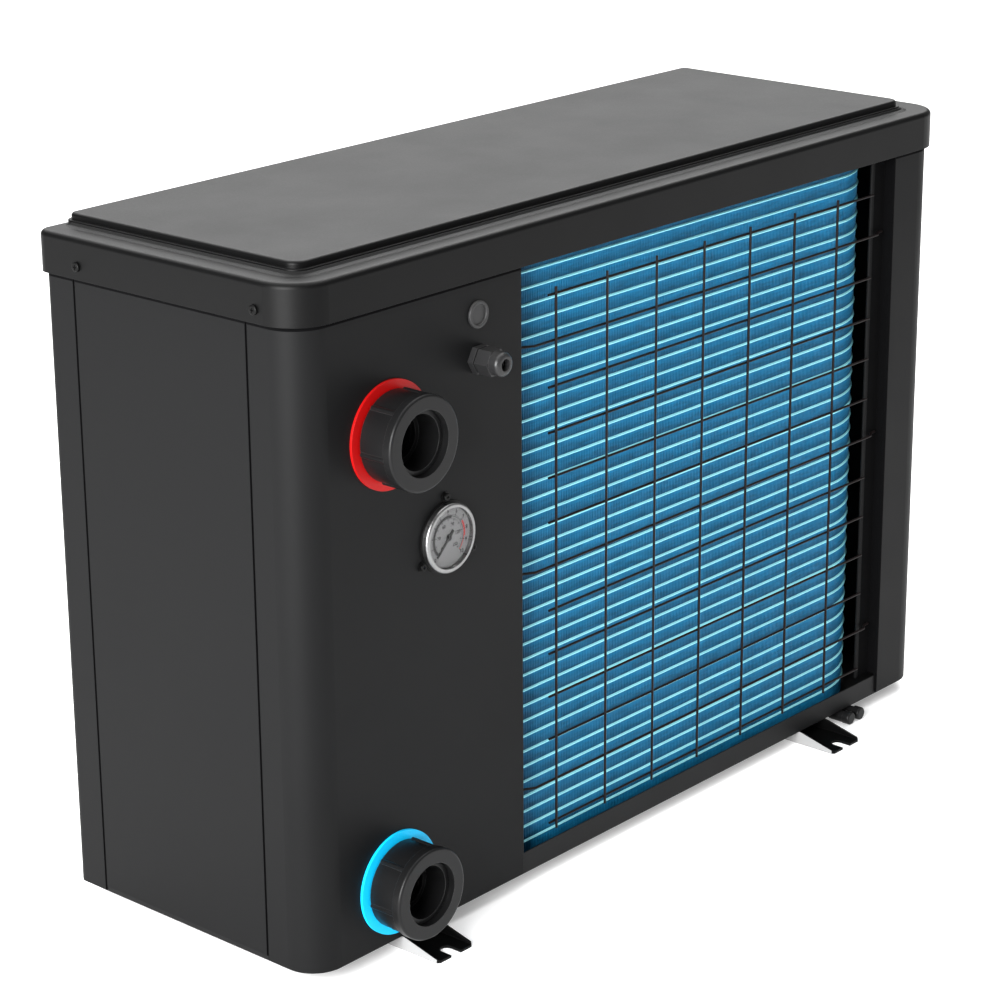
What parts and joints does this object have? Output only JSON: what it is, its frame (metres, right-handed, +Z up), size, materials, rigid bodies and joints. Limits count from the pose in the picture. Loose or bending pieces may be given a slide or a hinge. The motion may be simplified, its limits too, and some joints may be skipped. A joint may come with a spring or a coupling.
{
  "type": "pool heat pump",
  "caption": "Air-to-water pool heat pump: sheet-metal casing on steel feet, L-shaped coil with wire guard, water unions, pressure gauge, cable gland, front fan and keypad.",
  "frame": {"origin": "on the ground, under the middle of the casing and feet", "axes": "+Z up; -Y is the rear with the coil and the water unions; +X runs from the union end to the coil's bent end"},
  "size_m": [0.9648, 0.416, 0.6615],
  "materials": {
    "casing_paint": "charcoal powder coat, fine orange peel",
    "lid_paint": "charcoal powder coat, fine orange peel",
    "pan_paint": "dark powder coat",
    "foot_paint": "black powder coat",
    "screw_black": "black oxide",
    "guard_wire": "black dipped wire",
    "galvanised": "zinc coated sheet",
    "fan_guard_plastic": "moulded, fine texture",
    "fin_blue": "blue coated fins",
    "copper_tube": "drawn copper",
    "motor_paint": "satin enamel",
    "shaft_steel": "ground",
    "fan_plastic": "moulded",
    "zinc_steel": "zinc plated",
    "compressor_paint": "black enamel",
    "pump_iron": "machined",
    "stator_steel": "laminated",
    "rubber_black": "moulded",
    "tank_plastic": "moulded",
    "titanium": "drawn titanium tube",
    "union_black": "moulded, satin",
    "ring_red": "moulded",
    "ring_blue": "moulded",
    "gauge_steel": "polished stainless",
    "dial_face": "printed dial",
    "needle_black": "matt",
    "gauge_glass": "clear",
    "gland_black": "nylon",
    "valve_brass": "turned",
    "box_plastic": "moulded",
    "board_green": "solder mask",
    "keypad_plastic": "moulded",
    "key_plastic": "moulded"
  },
  "bodies": {
    "root": {"base_pan": "pan_paint", "foot_left": "foot_paint", "foot_right": "foot_paint", "drain_elbows": "union_black", "service_panel": "casing_paint", "left_panel": "casing_paint", "front_panel": "casing_paint", "right_panel": "casing_paint", "lid": "lid_paint", "casing_screws": "screw_black", "coil_guard": "guard_wire", "partition": "galvanised", "fan_guard": "fan_guard_plastic", "coil_fins": "fin_blue", "coil_end_plates": "galvanised", "coil_return_bends": "copper_tube", "fan_bracket": "galvanised", "fan_motor": "motor_paint", "compressor_shell": "compressor_paint", "compressor_cap": "compressor_paint", "compressor_pump": "pump_iron", "compressor_stator": "stator_steel", "compressor_rubbers": "rubber_black", "exchanger_tank": "tank_plastic", "exchanger_cap": "tank_plastic", "titanium_coil": "titanium", "flow_switch": "union_black", "outlet_ring": "ring_red", "outlet_seal": "rubber_black", "outlet_socket": "union_black", "inlet_ring": "ring_blue", "inlet_seal": "rubber_black", "inlet_socket": "union_black", "gauge_bracket": "screw_black", "gauge_case": "gauge_steel", "gauge_dial": "dial_face", "gauge_lens": "gauge_glass", "gland_body": "gland_black", "cable_grommet": "rubber_black", "reversing_valve": "valve_brass", "expansion_valve": "valve_brass", "refrigerant_pipes": "copper_tube", "electric_box": "box_plastic", "control_board": "board_green", "controller_case": "keypad_plastic"},
    "fan": {"fan_shaft": "shaft_steel", "fan_blade": "fan_plastic", "fan_nut": "zinc_steel"},
    "crank": {"compressor_rotor": "stator_steel"},
    "outlet_tail_half": {"outlet_tail": "union_black"},
    "outlet_hand_nut": {"outlet_nut": "union_black"},
    "inlet_tail_half": {"inlet_tail": "union_black"},
    "inlet_hand_nut": {"inlet_nut": "union_black"},
    "needle": {"gauge_needle": "needle_black"},
    "seal_of_gland": {"gland_seal": "rubber_black"},
    "cap_of_gland": {"gland_cap": "gland_black"},
    "paddle": {"flow_paddle": "zinc_steel"},
    "power_key": {"button_power": "key_plastic"},
    "up_key": {"button_up": "key_plastic"},
    "down_key": {"button_down": "key_plastic"}
  },
  "joints": [
    {"name": "fan_spin", "type": "hinge", "parent": "root", "child": "fan", "pos_m": [0.1, 0, 0.315], "axis": [0, 1, 0], "continuous": true},
    {"name": "crank_spin", "type": "hinge", "parent": "root", "child": "crank", "pos_m": [-0.262, 0.062, 0.16], "axis": [0, 0, 1], "continuous": true},
    {"name": "needle_turn", "type": "hinge", "parent": "root", "child": "needle", "pos_m": [-0.296, -0.169, 0.385], "axis": [0, 1, 0], "range_deg": [0, 270]},
    {"name": "paddle_swing", "type": "hinge", "parent": "root", "child": "paddle", "pos_m": [-0.366, -0.131, 0.0875], "axis": [1, 0, 0], "range_deg": [0, 25], "stiffness_Nm_per_rad": 0.02},
    {"name": "gland_seal_slide", "type": "slide", "parent": "root", "child": "seal_of_gland", "axis": [0, -1, 0], "range_m": [0, 0.0065]},
    {"name": "gland_cap_turn", "type": "hinge", "parent": "seal_of_gland", "child": "cap_of_gland", "pos_m": [-0.251, -0.18, 0.54], "axis": [0, -1, 0], "range_deg": [0, 1440]},
    {"name": "outlet_tail_slide", "type": "slide", "parent": "root", "child": "outlet_tail_half", "axis": [0, -1, 0], "range_m": [0, 0.0125]},
    {"name": "outlet_nut_turn", "type": "hinge", "parent": "outlet_tail_half", "child": "outlet_hand_nut", "pos_m": [-0.366, -0.19, 0.4975], "axis": [0, -1, 0], "range_deg": [0, 1080]},
    {"name": "inlet_tail_slide", "type": "slide", "parent": "root", "child": "inlet_tail_half", "axis": [0, -1, 0], "range_m": [0, 0.0125]},
    {"name": "inlet_nut_turn", "type": "hinge", "parent": "inlet_tail_half", "child": "inlet_hand_nut", "pos_m": [-0.366, -0.19, 0.072], "axis": [0, -1, 0], "range_deg": [0, 1080]},
    {"name": "power_press", "type": "slide", "parent": "root", "child": "power_key", "axis": [0, -1, 0], "range_m": [0, 0.0012], "stiffness_N_per_m": 600},
    {"name": "up_press", "type": "slide", "parent": "root", "child": "up_key", "axis": [0, -1, 0], "range_m": [0, 0.0012], "stiffness_N_per_m": 600},
    {"name": "down_press", "type": "slide", "parent": "root", "child": "down_key", "axis": [0, -1, 0], "range_m": [0, 0.0012], "stiffness_N_per_m": 600}
  ],
  "couplings": [
    {"joint": "gland_seal_slide", "follows": "gland_cap_turn", "m_per_rad": 0.00023873},
    {"joint": "outlet_tail_slide", "follows": "outlet_nut_turn", "m_per_rad": 0.00063662},
    {"joint": "inlet_tail_slide", "follows": "inlet_nut_turn", "m_per_rad": 0.00063662}
  ]
}
